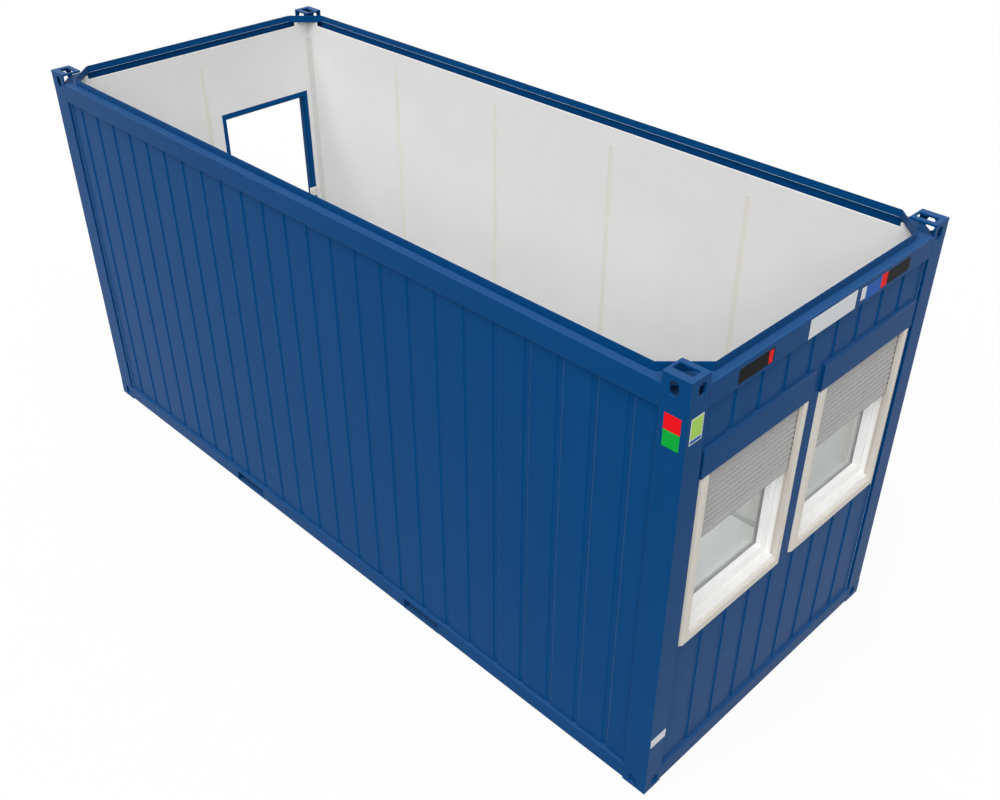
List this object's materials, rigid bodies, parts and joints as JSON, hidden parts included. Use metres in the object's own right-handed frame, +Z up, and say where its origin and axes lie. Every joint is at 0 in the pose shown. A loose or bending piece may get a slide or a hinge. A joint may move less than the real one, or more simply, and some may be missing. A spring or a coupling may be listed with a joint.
{
  "type": "container cabin",
  "caption": "Steel-framed container cabin with pressed blue walls, shuttered end windows, an end doorway, a lined room open to the sky, and corner fittings for stacking.",
  "frame": {"origin": "centre of the footprint, on the ground", "axes": "+X along the cabin to the window end, +Y across it, +Z up"},
  "size_m": [6.055, 2.435, 2.96],
  "materials": {
    "frame_blue": "satin sea-blue enamel on folded steel",
    "sheet_blue": "coil-coated blue on pressed sheet",
    "lining_white": "smooth white coated lining board",
    "strip_cream": "cream uPVC with a soft sheen",
    "sash_white": "white uPVC",
    "window_glass": "clear double glazing",
    "shutter_grey": "light grey uPVC slats",
    "primer_grey": "grey primer on rolled beams",
    "galvanised": "dull galvanised sheet",
    "floor_vinyl": "grey sheet flooring"
  },
  "bodies": {
    "root": {"front_bottom_rail": "frame_blue", "back_bottom_rail": "frame_blue", "window_end_bottom_rail": "frame_blue", "door_end_bottom_rail": "frame_blue", "front_top_rail": "frame_blue", "back_top_rail": "frame_blue", "window_end_top_rail": "frame_blue", "door_end_top_rail": "frame_blue", "front_window_post": "frame_blue", "back_window_post": "frame_blue", "front_door_post": "frame_blue", "back_door_post": "frame_blue", "window_end_bottom_fittings": "frame_blue", "door_end_bottom_fittings": "frame_blue", "window_end_top_fittings": "frame_blue", "door_end_top_fittings": "frame_blue", "corner_gussets": "frame_blue", "front_wall_panel": "sheet_blue", "back_wall_panel": "sheet_blue", "window_wall_panel": "sheet_blue", "door_wall_wide_panel": "sheet_blue", "door_wall_narrow_panel": "sheet_blue", "door_wall_header_panel": "sheet_blue", "front_lining": "lining_white", "back_lining": "lining_white", "window_end_lining": "lining_white", "door_end_lining": "lining_white", "joint_strips": "strip_cream", "room_trims": "lining_white", "floor_beams": "primer_grey", "lift_pockets": "frame_blue", "underfloor_sheet": "galvanised", "floor_board": "floor_vinyl", "front_shutter_frame": "strip_cream", "back_shutter_frame": "strip_cream", "front_window_frame": "sash_white", "back_window_frame": "sash_white", "front_window_sash": "sash_white", "back_window_sash": "sash_white", "window_panes": "window_glass", "shutters": "shutter_grey", "shutter_boxes": "frame_blue", "door_frame": "frame_blue", "door_sill": "galvanised", "strike_box": "strip_cream"}
  },
  "joints": []
}
